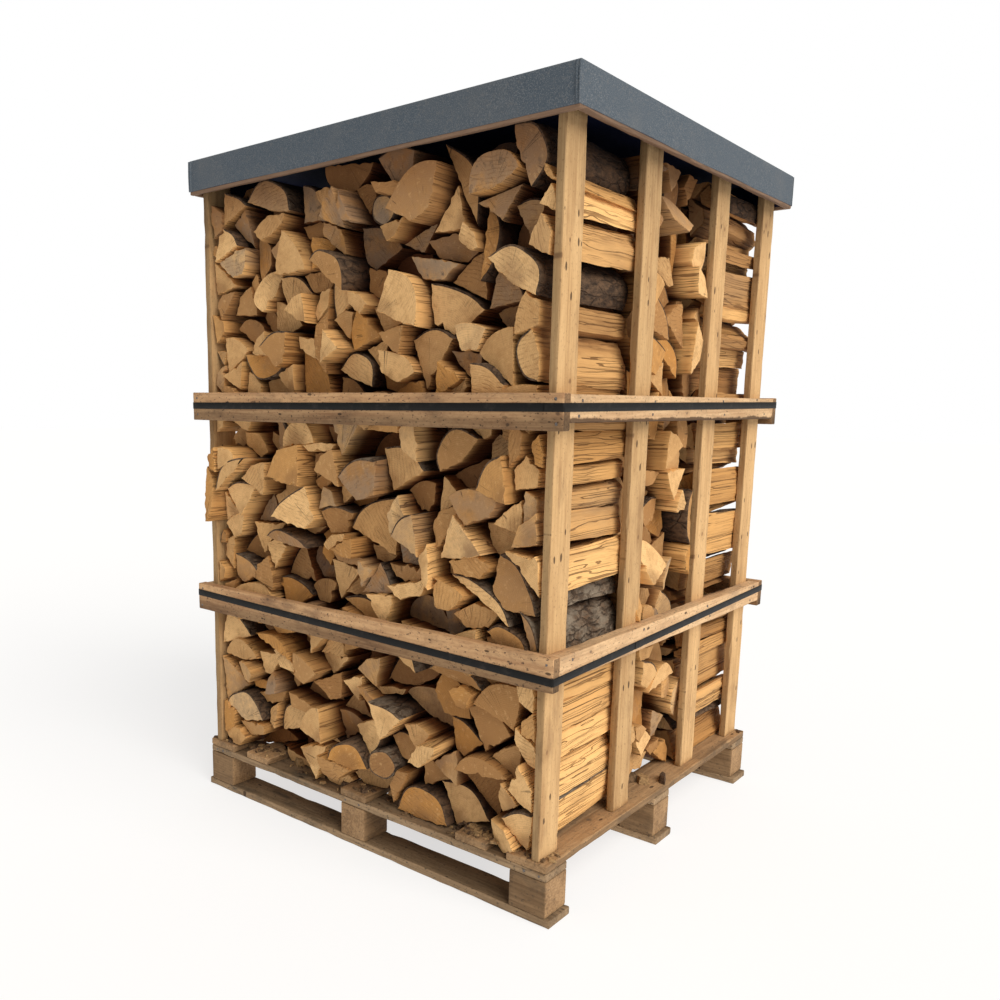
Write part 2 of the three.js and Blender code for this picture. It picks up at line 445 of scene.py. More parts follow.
def makeBoard(node, materials, seed, base, shape):
    # a board or block with worn edges, drawn along its longest side
    low, high = (np.array(corner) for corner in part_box(node))
    size = high - low
    middle = (high + low) / 2
    order = np.argsort(-size)
    length, width, thickness = size[order]
    halves = np.array([width / 2, thickness / 2])
    random = np.random.default_rng(seed)
    outline, pulls, follows = boardSection(width, thickness, shape["midPoints"])
    count = len(outline)
    margin, endStep = shape["endMargin"], shape["endStep"]
    stations = np.linspace(margin, length - margin, max(4, int(length / shape["step"])))
    places = np.concatenate([[0.0, endStep], stations, [length - endStep, length]])
    worn = []
    for corner in range(4):
        wave = ripple(random, places[:, None], 6.0) + ripple(random, places[:, None], 17.0)
        worn.append(shape["chamfer"] * (1 + 0.35 * wave) + shape["wear"] * np.clip(wave - 1.1, 0, 1.5))
    worn = np.clip(np.array(worn), *shape["wearRange"])
    points = []
    for index, spot in enumerate(places):
        ring = outline + pulls * worn[follows, index][:, None]
        if index in (0, len(places) - 1):
            ring = ring * (1 - shape["endDraw"] / halves)
        dent = ripple(random, np.column_stack([np.arange(count) * 0.11, np.full(count, spot)]), 2.0, 3)
        ring = ring * (1 - np.abs(dent)[:, None] * shape["dent"] / halves)
        points.append(np.column_stack([np.full(count, spot - length / 2), ring]))
    local = np.concatenate(points)
    world = np.zeros_like(local)
    for column, axis in enumerate(order):
        world[:, axis] = local[:, column] + middle[axis]
    faces = tubeFaces(len(places), count) + capFaces(len(places), count)
    slots = (follows % 2).tolist() * (len(places) - 1) + [2, 2]
    # the outline turns the right way only if length, width and thickness are in X, Y, Z order
    if np.linalg.det(np.eye(3)[order]) < 0:
        faces = [face[::-1] for face in faces]
    heart = [random.uniform(-2, 2), random.uniform(-0.5, 0.5) * width, random.uniform(0.6, 2.5) * width]
    tone = np.full(len(local), random.random())
    waney = np.full(len(local), float(node in shape["waney"]))
    values = {"grainPlace": local + heart, "boardLook": np.column_stack([tone, waney, world[:, 2] - base])}
    makePiece(node + "_wood", world, faces, slots, materials, values, [node], shape["smoothAngle"])


def makeBoards(groups, shape):
    seed = 100
    for kind, values in groups.items():
        # painted shade: one copy of the wood for each face, darkened by its shade factor
        materials = [makeSawnWood(kind + "Wood" + face, values, values.get(shade, usual))
                     for face, shade, usual in shape["faces"]]
        for node in sorted(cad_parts):
            if not any(part in node for part in values["names"]):
                continue
            seed += 1
            lowest = "lid_frame_front" if kind == "lidBoard" else node
            makeBoard(node, materials, seed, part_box(lowest)[0].z, shape)
    print("boards made:", seed - 100)


logValues = {
    "cell": 0.004,               # grid of the stacking, in metres
    "outlineStep": 0.0095,
    "kinds": ("wedge", "cutWedge", "half", "slab", "heart", "round"),
    "shares": (0.37, 0.17, 0.115, 0.07, 0.265, 0.01),
    "radius": (0.086, 0.140),
    "halfRadius": (0.056, 0.084),
    "roundRadius": (0.028, 0.050),
    "shapesTried": 4,
    "turnsTried": 18,
    "emptyWorth": 24.0,          # how much a hollow below a log counts against its place
    "topWorth": 0.8,
    "fillers": ((0.095, 500), (0.074, 700), (0.056, 900), (0.044, 700)),
    "wallFillers": ((0.080, 260), (0.058, 420), (0.044, 420)),
    "wallBand": 0.045,
    "barked": 0.60,              # share of logs that still have their bark
    "growth": ((1.14, 1.05), (1.08, 1.05), (1.08, 1.0), (1.04, 1.02)),
    "overlapAllowed": 0.02,
    "wallShrink": 0.982,
    "wallSlide": 0.06,           # logs this near a side wall are pushed against it
    "length": (0.322, 0.348),
    "greyAbove": 1.40,           # logs near the top are more weathered
    "barkThickness": 0.0042,
    "endBevel": 0.0022,
    "wallGap": 0.001,            # kept free at the side walls
    "stations": 3,
    "fineStations": 11,
    "chips": 0.022,              # how often a split edge has a torn notch
    "fibreDepth": 0.055,         # of an edge's length
    "barkBumps": 0.0016,
    "splitBumps": 0.0011,
    "bow": 0.0028,
    "twistDegrees": 3.0,
    "tiltDegrees": 1.3,
    "wallTilt": 1.8,             # how much more the logs along the side walls slope
    "sawTiltDegrees": 7.5,
}


def arcOutline(radius, start, end, random, step):
    count = max(3, int(abs(end - start) * radius / step))
    angles = np.linspace(start, end, count + 1)
    phase = random.uniform(0, 6, 2)
    radii = radius * (1 + 0.05 * np.sin(2 * angles + phase[0]) + 0.028 * np.sin(5 * angles + phase[1]))
    return np.column_stack([radii * np.cos(angles), radii * np.sin(angles)])


def logShape(random, values, small=0.0):
    # a log's cross-section round its pith: points, and whether the edge after each point is bark
    step = values["outlineStep"]
    kind = random.choice(values["kinds"], p=values["shares"])
    opening = math.radians(random.uniform(48, 100))
    radius = random.uniform(*values["radius"])
    barked = kind == "round" or random.random() < values["barked"]
    inner = []
    if small and kind == "round":
        kind = "cutWedge"
    if kind == "half":
        opening, radius = math.radians(random.uniform(150, 182)), random.uniform(*values["halfRadius"])
    if kind == "slab":
        opening = math.radians(random.uniform(85, 130))
    if kind == "round":
        opening, radius = 2 * math.pi, random.uniform(*values["roundRadius"])
    if small:
        radius = small * random.uniform(0.85, 1.3)
    half = opening / 2
    if kind == "heart":
        barked = False
        reach = radius * random.uniform(0.62, 0.85)
        turns = np.linspace(-half, half, random.integers(2, 4))
        rim = np.column_stack([np.cos(turns), np.sin(turns)]) * reach
        rim = rim * random.uniform(0.90, 1.10, (len(turns), 1))
    else:
        end = half if kind != "round" else half - step / radius
        rim = arcOutline(radius, -half, end, random, step)
    if kind in ("wedge", "half", "heart"):
        inner = [(random.uniform(-0.05, 0.08) * radius, random.uniform(-0.08, 0.08) * radius)]
    if kind == "cutWedge" or (kind == "heart" and random.random() < 0.5):
        cut = radius * random.uniform(0.22, 0.48)
        lean = random.uniform(0.75, 1.3)
        inner = [(cut * math.cos(half), cut * math.sin(half)),
                 (cut * lean * math.cos(half), -cut * lean * math.sin(half))]
    corners = [tuple(point) for point in rim] + inner
    marks = [barked] * (len(rim) - 1) + [barked and kind == "round"] + [False] * len(inner)
    marks = marks[:len(corners)]
    points, bark = [], []
    for index, corner in enumerate(corners):
        nextCorner = corners[(index + 1) % len(corners)]
        edge = np.subtract(nextCorner, corner)
        length = float(np.hypot(*edge))
        pieces = max(1, round(length / step))
        across = np.array([edge[1], -edge[0]]) / max(length, 1e-6)
        belly = 0.0 if length < 1.5 * step else random.normal(0.012, 0.022) * length
        for k in range(pieces):
            share = k / pieces
            rough = 0.0 if k == 0 else random.normal(0, 0.0013) + belly * math.sin(math.pi * share)
            if k and not marks[index] and random.random() < values["chips"]:
                rough += random.choice([-1.0, -1.0, 1.0]) * random.uniform(0.004, 0.009)
            points.append(np.add(corner, edge * share) + across * rough)
            bark.append(marks[index])
    return np.array(points), np.array(bark)


def turned(points, angle):
    c, s = math.cos(angle), math.sin(angle)
    return points @ np.array([[c, s], [-s, c]])


def columnReach(points, cell):
    # lowest and highest point of an outline in each column of the grid
    ends = np.roll(points, -1, axis=0)
    shares = np.linspace(0, 1, 7)[:, None, None]
    dense = (points + (ends - points) * shares).reshape(-1, 2)
    column = np.floor(dense[:, 0] / cell).astype(int)
    column -= column.min()
    low = np.full(column.max() + 1, 9.0)
    high = np.full(column.max() + 1, -9.0)
    np.minimum.at(low, column, dense[:, 1])
    np.maximum.at(high, column, dense[:, 1])
    return low, high


def moveLog(log, shift):
    log["outline"] = log["outline"] + shift
    log["pith"] = log["pith"] + shift


def scaleLog(log, centre, scale):
    log["outline"] = centre + (log["outline"] - centre) * scale
    log["pith"] = centre + (log["pith"] - centre) * scale


def stackLogs(width, floorLine, ceiling, random, values):
    # drops logs one by one where they fit best, and returns each log's outline, bark marks and pith
    cell = values["cell"]
    columns = int(width / cell)
    line = np.asarray(floorLine(np.arange(columns) * cell), dtype=float).copy()
    owners = np.zeros((int(ceiling / cell) + 80, columns), dtype=np.int32)
    for column in range(columns):
        owners[:int(line[column] / cell), column] = -1
    logs, misses = [], 0
    while misses < 16:
        best = None
        for _ in range(values["shapesTried"]):
            shape, bark = logShape(random, values)
            for turn in random.uniform(0, 2 * math.pi, values["turnsTried"]):
                outline = turned(shape, turn)
                low, high = columnReach(outline, cell)
                if len(low) >= columns:
                    continue
                windows = np.lib.stride_tricks.sliding_window_view(line, len(low))
                rest = (windows - low).max(axis=1)
                empty = ((rest[:, None] + low) - windows).sum(axis=1) * cell
                cost = values["emptyWorth"] * empty + rest + values["topWorth"] * high.max()
                cost = np.where(rest + high.max() > ceiling, 9.0, cost)
                spot = int(np.argmin(cost))
                if cost[spot] < 8 and (best is None or cost[spot] < best[0]):
                    best = (cost[spot], spot, rest[spot], outline, bark, low, high)
        if best is None:
            misses += 1
            continue
        _, spot, rest, outline, bark, low, high = best
        shift = np.array([spot * cell - outline[:, 0].min(), rest])
        logs.append({"outline": outline + shift, "bark": bark, "pith": shift})
        claim(owners, logs[-1]["outline"], cell, len(logs))
        line[spot:spot + len(low)] = np.maximum(line[spot:spot + len(low)], rest + high)
    fillHollows(logs, owners, line, random, values)
    growLogs(logs, owners, ceiling, values)
    return logs


def claim(owners, outline, cell, number):
    low, high = columnReach(outline, cell)
    first = int(outline[:, 0].min() / cell)
    for j in range(len(low)):
        column = first + j
        if 0 <= column < owners.shape[1]:
            owners[max(0, int(low[j] / cell)):int(high[j] / cell) + 1, column] = number


def overlapShare(owners, outline, cell, number):
    # how much of an outline lies on other logs, or past the walls
    low, high = columnReach(outline, cell)
    first = int(round(outline[:, 0].min() / cell))
    taken, total = 0, 0
    for j in range(len(low)):
        column = first + j
        a, b = int(low[j] / cell), int(high[j] / cell) + 1
        total += b - a
        if column < 0 or column >= owners.shape[1] or a < 0:
            return 1.0
        part = owners[a:b, column]
        taken += int(((part != 0) & (part != number)).sum())
    return taken / max(total, 1)


def fillHollows(logs, owners, line, random, values):
    # smaller splits in the hollows that the first logs leave
    cell = values["cell"]
    heights = (line / cell).astype(int)
    for size, tries in values["fillers"]:
        for _ in range(tries):
            column = random.integers(2, owners.shape[1] - 2)
            tryFiller(logs, owners, heights, column, size, random, values)
    band = int(values["wallBand"] / cell)
    for size, tries in values["wallFillers"]:
        for _ in range(tries):
            column = random.integers(1, band)
            if random.random() < 0.5:
                column = owners.shape[1] - 1 - column
            tryFiller(logs, owners, heights, column, size, random, values)


def tryFiller(logs, owners, heights, column, size, random, values):
    cell = values["cell"]
    row = random.integers(2, max(3, heights[column] - 4))
    if owners[row, column] != 0:
        return
    shape, bark = logShape(random, values, small=size)
    outline = turned(shape, random.uniform(0, 2 * math.pi))
    shift = np.array([column * cell, row * cell]) - outline.mean(axis=0)
    width = owners.shape[1] * cell
    reach = outline[:, 0] + shift[0]
    if min(column, owners.shape[1] - column) < values["wallBand"] / cell:
        shift[0] += -reach.min() if column < owners.shape[1] / 2 else width - reach.max() - values["wallGap"]
    if overlapShare(owners, outline + shift, cell, -5) > 0.05:
        return
    logs.append({"outline": outline + shift, "bark": bark, "pith": shift})
    claim(owners, outline + shift, cell, len(logs))


def growLogs(logs, owners, ceiling, values):
    # widens each log a little into the gaps round it, so that neighbours touch
    cell = values["cell"]
    width = owners.shape[1] * cell
    for index, log in enumerate(logs):
        reach = log["outline"][:, 0]
        gaps = (-reach.min(), width - reach.max() - values["wallGap"])
        slide = min(gaps, key=abs)
        if abs(slide) < values["wallSlide"]:
            moved = log["outline"] + (slide, 0.0)
            if overlapShare(owners, moved, cell, index + 1) < 0.06:
                owners[owners == index + 1] = 0
                moveLog(log, (slide, 0.0))
                claim(owners, moved, cell, index + 1)
        centre = log["outline"].mean(axis=0)
        if min(abs(gap) for gap in gaps) < values["wallSlide"]:
            scaleLog(log, centre, (1.0, values["wallShrink"]))
            continue
        for scale in values["growth"]:
            outline = centre + (log["outline"] - centre) * scale
            if outline[:, 1].max() > ceiling:
                continue
            if overlapShare(owners, outline, cell, index + 1) < values["overlapAllowed"]:
                scaleLog(log, centre, scale)
                claim(owners, outline, cell, index + 1)
                break


def refined(outline, bark, random, values):
    # more points on the split edges, which show as fibres along the log
    points, marks = [], []
    for index, point in enumerate(outline):
        points.append(point)
        marks.append(bark[index])
        if not bark[index]:
            edge = outline[(index + 1) % len(outline)] - point
            across = np.array([edge[1], -edge[0]])
            share = random.uniform(0.35, 0.65)
            points.append(point + edge * share + across * random.normal(0, values["fibreDepth"]))
            marks.append(False)
    return np.array(points), np.array(marks)


def inset(outline, depths):
    # draws each point of an outline inwards by its own depth
    before = outline - np.roll(outline, 1, axis=0)
    after = np.roll(outline, -1, axis=0) - outline
    lengths = [np.maximum(np.hypot(*edge.T), 1e-6)[:, None] for edge in (before, after)]
    ahead = before / lengths[0] + after / lengths[1]
    ahead /= np.maximum(np.hypot(*ahead.T), 1e-6)[:, None]
    inward = np.column_stack([-ahead[:, 1], ahead[:, 0]])
    return outline + inward * depths[:, None]


def logBody(log, start, end, random, values, fine):
    # one log along its own first axis: points, faces, finish of each face, and what the materials read
    outline, bark = log["outline"], log["bark"]
    if fine:
        outline, bark = refined(outline, bark, random, values)
    count = len(outline)
    middle = outline.mean(axis=0)
    spread = outline - middle
    length = end - start
    stations = values["fineStations" if fine else "stations"]
    shares = np.concatenate([[0.0, 0.0, 0.005], np.linspace(0.04, 0.96, stations), [0.995, 1.0, 1.0]])
    saw = math.radians(values["sawTiltDegrees"]) * (2.6 if random.random() < 0.18 else 1.0)
    leans = random.normal(0, 0.55 * math.tan(saw), (2, 2))
    tilt = np.tan(np.radians(random.normal(0, values["tiltDegrees"] / 2, 2)))
    if fine:
        tilt = tilt * (0.6, values["wallTilt"])
    bow = random.normal(0, values["bow"], 2)
    twist = math.radians(random.normal(0, values["twistDegrees"]))
    rim = np.where(bark & np.roll(bark, 1), values["barkThickness"], values["endBevel"])
    perimeter = np.cumsum(np.hypot(*(np.roll(outline, -1, axis=0) - outline).T))
    angles = perimeter / perimeter[-1] * 2 * math.pi
    around = np.column_stack([np.cos(angles), np.sin(angles)])
    seed = random.uniform(0, 100)
    last = len(shares) - 1
    points, grains = [], []
    for index, share in enumerate(shares):
        closeness = min(index, last - index)
        ring = outline
        if closeness == 0:
            ring = inset(outline, rim)
        elif closeness == 1:
            ring = inset(outline, np.full(count, 0.0010))
        elif closeness > 2:
            wave = ripple(random, np.column_stack([around * 1.1, np.full(count, share * 1.6)]), 0.9, 3)
            rough = np.where(bark, values["barkBumps"], values["splitBumps"]) * wave
            ring = outline + spread / np.maximum(np.hypot(*spread.T), 0.01)[:, None] * rough[:, None]
        ring = middle + turned(ring - middle, twist * (share - 0.5))
        ring = ring + tilt * (share - 0.5) * length + bow * math.sin(math.pi * share)
        near = start + spread @ leans[0]
        far = end + spread @ leans[1]
        along = near + (far - near) * share
        points.append(np.column_stack([along, ring]))
        grains.append(np.column_stack([np.full(count, seed + share * length), ring - log["pith"]]))
    faces = tubeFaces(len(shares), count) + capFaces(len(shares), count)
    rimSlots, sideSlots = np.where(bark, 3, 0).tolist(), np.where(bark, 2, 1).tolist()
    slots = rimSlots + sideSlots * (last - 2) + rimSlots + [0, 0]
    points = np.concatenate(points)
    direction = random.uniform(0, math.pi)
    stripes = (points[:, 1:] - middle) @ (math.cos(direction), math.sin(direction))
    tone = np.clip(random.normal(0.5, 0.24), 0, 1)
    grey = max(0.0, random.normal(-0.25, 0.42))
    if middle[1] > values["greyAbove"]:
        grey += random.uniform(-0.5, 0.6)
    look = np.tile([tone, np.clip(grey, 0.0, 1.0), random.random()], (len(points), 1))
    return points, faces, slots, np.concatenate(grains), stripes + random.random(), look


def logRow(name, node, logs, axis, spans, materials, random, values, isFine):
    # axis 0: logs along X with the stack in Y and Z; axis 1: logs along Y with the stack in X and Z
    parts = [logBody(log, start, end, random, values, isFine(log)) for log, (start, end) in zip(logs, spans)]
    if axis == 0:
        joinLogs(name, node, parts, axis, materials)
        return
    for side, onRight in (("_left", False), ("_right", True)):
        chosen = [part for part in parts if (part[0][:, 1].mean() > 0) == onRight]
        joinLogs(name + side, node, chosen, axis, materials)


def joinLogs(name, node, parts, axis, materials):
    # one mesh of many logs; turning them to lie along Y also turns their faces over
    points, faces, slots, grains, stripes, looks = zip(*parts)
    joined, total = [], 0
    for own, ownFaces in zip(points, faces):
        for face in ownFaces:
            corners = tuple(corner + total for corner in face)
            joined.append(corners if axis == 0 else corners[::-1])
        total += len(own)
    world = np.concatenate(points)
    if axis == 1:
        world = world[:, [1, 0, 2]]
    attributes = {
        "grainPlace": np.concatenate(grains),
        "sawAcross": np.concatenate(stripes),
        "logLook": np.concatenate(looks),
    }
    makePiece(name, world, joined, sum(slots, []), materials, attributes, [node], smoothAngle=38)


logLooks = {
    "pale": (0.86, 0.535, 0.235), "tan": (0.42, 0.212, 0.074), "golden": (0.57, 0.270, 0.070),
    "heart": (0.26, 0.125, 0.047), "greyed": (0.27, 0.222, 0.172), "mould": (0.055, 0.050, 0.048),
    # the deep colour is painted shade for logs inside the crate; dusk is the painted shadow of the lid
    "side": (0.97, 0.575, 0.225), "recessShade": (0.17, 0.065, 0.016),
    "logLidShadow": (0.50, 0.40, 0.33),
    "crack": (0.045, 0.026, 0.015), "fibreDark": (0.21, 0.095, 0.030),
    "barkDark": (0.050, 0.032, 0.021), "barkBrown": (0.165, 0.098, 0.055), "barkGrey": (0.28, 0.230, 0.170),
    "lichen": (0.38, 0.32, 0.24),
    "ringSpacing": 0.0042, "sawSpacing": 0.0085,
    "endDepths": (0.014, 0.120), "sideDepths": (0.010, 0.070),   # painted shade inside the crate: depths where logs turn darker
    "logLidShadowHeights": (1.44, 1.60),                                 # painted shadow of the lid: heights where logs turn duller
}


def paintedRecessShade(tree, colour, looks, depths):
    # painted shade: logs far inside the crate are darker and redder than those at its faces
    spot = split(objectPlace(tree))
    depthX = maths("SUBTRACT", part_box("logs_middle_row")[1].x, maths("ABSOLUTE", spot[0]))
    depthY = maths("SUBTRACT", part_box("logs_back_row")[1].y, maths("ABSOLUTE", spot[1]))
    recessShade = between(maths("MINIMUM", depthX, depthY), *depths)
    colour = tint(colour, mixed(1.0, colour, looks["recessShade"], "MULTIPLY"), recessShade, 0.95)
    # painted shadow of the lid: the topmost logs turn duller
    logLidShadow = mixed(1.0, colour, looks["logLidShadow"], "MULTIPLY")
    return tint(colour, logLidShadow, between(spot[2], *looks["logLidShadowHeights"]))


def makeEndGrain(looks):
    material, tree, shader = newMaterial("logEndGrain", roughness=0.86)
    grain = attribute(tree, "grainPlace")
    tone, grey, seed = split(attribute(tree, "logLook"))
    saw = attribute(tree, "sawAcross", "Fac")
    _, across, up = split(grain)
    flat = combined(0.0, across, up)
    wander = noise(grain, 16.0, detail=2.0)
    radius = timesPlus(wander, 0.016, vectorMaths("LENGTH", flat, output="Value"))
    rings = stripesOf(radius, looks["ringSpacing"], -0.2)
    # drying checks run outwards from the pith
    spokes = vectorMaths("ADD", vectorMaths("NORMALIZE", flat), combined(times(seed, 40.0)))
    spokes = noise(spokes, 3.2, roughness=0.6)
    checks = maths("ABSOLUTE", maths("SUBTRACT", timesPlus(wander, 0.02, spokes), 0.51))
    checkMask = between(noise(grain, 20.0, shift=(7, 3, 5), detail=2.0), 0.52, 0.62)
    checks = times(between(checks, 0.0050, 0.0016), checkMask)
    colour = mixed(between(tone, 0.15, 0.80), looks["tan"], looks["pale"])
    colour = tint(colour, looks["golden"], between(shareOf(seed, 17.0), 0.70, 0.95))
    blotches = noise(grain, 21.0, shift=(2, 8, 4), detail=4.0, roughness=0.62)
    colour = tint(colour, looks["tan"], between(blotches, 0.42, 0.72), 0.45)
    heart = times(between(radius, 0.062, 0.030), between(shareOf(seed, 7.3), 0.30, 0.85))
    colour = tint(colour, looks["heart"], heart, 0.60)
    colour = tint(colour, looks["heart"], rings, 0.13)
    mottle = noise(grain, 95.0, shift=(4, 4, 7), roughness=0.6)
    colour = tint(colour, looks["tan"], between(mottle, 0.50, 0.70), 0.34)
    colour = tint(colour, looks["pale"], between(mottle, 0.44, 0.28), 0.30)
    colour = tint(colour, looks["greyed"], times(grey, between(blotches, 0.28, 0.60)), 0.95)
    mould = noise(grain, 46.0, shift=(5, 1, 9), detail=4.0, roughness=0.7)
    mould = times(between(mould, 0.56, 0.68), between(grey, 0.10, 0.75))
    colour = tint(colour, looks["mould"], mould, 0.62)
    # broken saw marks, on some ends only
    stripes = stripesOf(timesPlus(wander, 0.022, saw), looks["sawSpacing"], 0.35)
    broken = between(noise(grain, 60.0, detail=2.0), 0.38, 0.60)
    stripes = times(times(stripes, broken), between(shareOf(seed, 29.0), 0.45, 0.80))
    colour = tint(colour, looks["heart"], stripes, 0.30)
    fine = noise(grain, 330.0, detail=2.0)
    colour = tint(colour, looks["heart"], between(fine, 0.5, 0.75), 0.22)
    colour = tint(colour, looks["crack"], checks, 0.70)
    # painted shade deep in the crate and painted shadow under the lid
    colour = paintedRecessShade(tree, colour, looks, looks["endDepths"])
    height = timesPlus(stripes, -0.55, times(fine, 0.35))
    height = timesPlus(checks, -1.0, height)
    height = timesPlus(blotches, 1.6, timesPlus(mottle, 0.7, height))
    height = timesPlus(rings, 0.10, height)
    finished(shader, colour, height, 0.0022, 0.75)
    return material


def makeSplitFace(looks):
    material, tree, shader = newMaterial("logSplitFace", roughness=0.80)
    grain = attribute(tree, "grainPlace")
    tone, grey, seed = split(attribute(tree, "logLook"))
    bend = noise(grain, (3.6, 7.0, 7.0), detail=2.0)
    bent = vectorMaths("ADD", grain, combined(0.0, times(bend, 0.024), times(bend, 0.017)))
    fibres = noise(bent, (2.6, 250.0, 250.0), roughness=0.6)
    bands = noise(bent, (1.1, 72.0, 72.0), shift=(3.0, 5.0, 1.0), detail=2.0, roughness=0.5)
    patches = noise(grain, (5.0, 14.0, 14.0), shift=(1.0, 7.0, 3.0))
    colour = mixed(between(tone, 0.1, 0.8), looks["tan"], looks["side"])
    golden = between(shareOf(seed, 17.0), 0.35, 0.95)
    colour = tint(colour, looks["golden"], timesPlus(golden, 0.45, 0.08))
    colour = tint(colour, looks["heart"], between(patches, 0.50, 0.78), 0.45)
    colour = tint(colour, looks["fibreDark"], between(bands, 0.54, 0.74), 0.40)
    colour = tint(colour, looks["fibreDark"], between(fibres, 0.52, 0.72), 0.42)
    lines = noise(bent, (0.35, 135.0, 135.0), shift=(2.0, 9.0, 4.0), detail=0.0)
    splits = between(maths("ABSOLUTE", maths("SUBTRACT", lines, 0.50)), 0.042, 0.010)
    splits = times(splits, between(noise(grain, (3.0, 24.0, 24.0), detail=1.0), 0.36, 0.52))
    colour = tint(colour, looks["fibreDark"], splits, 0.80)
    colour = tint(colour, looks["greyed"], times(grey, between(patches, 0.30, 0.60)), 0.75)
    # painted shade deep in the crate and painted shadow under the lid
    colour = paintedRecessShade(tree, colour, looks, looks["sideDepths"])
    height = timesPlus(bands, 1.2, fibres)
    height = timesPlus(splits, -1.2, height)
    finished(shader, colour, height, 0.0030, 0.9)
    return material


def makeBark(name, looks, greyness):
    material, tree, shader = newMaterial(name, roughness=0.9)
    grain = attribute(tree, "grainPlace")
    seed = split(attribute(tree, "logLook"))[2]
    plates = noise(grain, (34.0, 90.0, 90.0), detail=5.0, roughness=0.65, distortion=0.4)
    mottle = noise(grain, (14.0, 26.0, 26.0), shift=(3.0, 2.0, 6.0), detail=5.0, roughness=0.7)
    lichen = noise(grain, 75.0, detail=4.0, roughness=0.7)
    colour = ramp(plates, [(0.36, looks["barkDark"]), (0.60, looks["barkBrown"])])
    grown = times(between(shareOf(seed, 11.0), 0.25, 0.60), greyness)
    colour = tint(colour, looks["barkGrey"], between(mottle, 0.34, 0.66), times(grown, 0.85))
    colour = tint(colour, looks["lichen"], times(between(lichen, 0.56, 0.66), grown), 0.4)
    dark = between(noise(grain, (60.0, 60.0, 60.0), shift=(1, 4, 2)), 0.58, 0.68)
    colour = tint(colour, looks["barkDark"], dark, 0.5)
    torn = noise(grain, 24.0, roughness=0.5, output="Color")
    torn = vectorMaths("ADD", stretched(grain, (16.0, 46.0, 46.0)), torn)
    fissures = cells(torn, feature="DISTANCE_TO_EDGE")["Distance"]
    fissures = times(between(fissures, 0.10, 0.02), between(mottle, 0.62, 0.42))
    colour = tint(colour, looks["barkDark"], fissures, 0.70)
    # painted shade deep in the crate and painted shadow under the lid
    colour = paintedRecessShade(tree, colour, looks, looks["sideDepths"])
    height = timesPlus(mottle, 0.8, plates)
    height = timesPlus(fissures, -1.2, height)
    finished(shader, colour, height, 0.0040, 0.9)
    return material


rowValues = {
    "backMean": 0.030,           # how far log ends lie back from the row's face, and how much that varies
    "backSpread": 0.034,
    "backRange": (-0.013, 0.115),
    "sideOut": 0.010,            # how far middle-row ends may stand out between the posts
    "ceiling": 1.598,
    "clearance": 0.001,          # above the boards, and at the inner end of a row
    "besideBoard": 0.006,
    "railGap": 0.012, "lidGap": 0.015,
    "sideOutEnds": 0.018,        # how far the ends of logs along the side walls may stand out
    "sideBand": 0.105,           # logs this close to the side walls are seen lengthwise
    "wallGap": 0.004, "wallReach": 0.05,
    "middleGap": 0.003, "columnGap": 0.004, "behindColumn": 0.002,
    "freeOut": 0.02,             # how far logs may stand out where no rail crosses them
    "looseOut": 0.038,           # a few logs slid forward at the front left corner
    "looseBand": (0.80, 0.99),
    "looseWithin": 0.10,
    "seeds": {"front": 21, "middle": 31, "back": 41},
}


def deckLine(offset):
    # the height at which logs lie, on the deck boards or down between them on the stringers
    clear, beside = rowValues["clearance"], rowValues["besideBoard"]
    bearerTop = max(high.z for _, high in boxes("stringer"))

    def heightAt(places):
        heights = np.full(len(places), bearerTop + clear)
        for low, high in boxes("deck_board"):
            over = (places + offset > low.x - beside) & (places + offset < high.x + beside)
            heights[over] = high.z + clear
        return heights
    return heightAt


def keptInside(log, low, high):
    # slides a log in the stack plane so that it stays between the walls
    reach = log["outline"][:, 0]
    moveLog(log, (max(low - reach.min(), 0.0) - max(reach.max() - high, 0.0), 0.0))


def spanOf(outer, inner, length, slack, random, values):
    # where one log starts and ends: outer is the row's face, inner the limit behind it
    sign = 1.0 if inner > outer else -1.0
    back = np.clip(random.normal(values["backMean"], values["backSpread"]), *values["backRange"])
    back = max(back, -slack)
    first = outer + sign * back
    second = first + sign * length
    second = min(second, inner) if sign > 0 else max(second, inner)
    return (min(first, second), max(first, second))


def blocked(log, zones):
    low, high = log["outline"][:, 1].min(), log["outline"][:, 1].max()
    return any(low < top and high > bottom for bottom, top in zones)


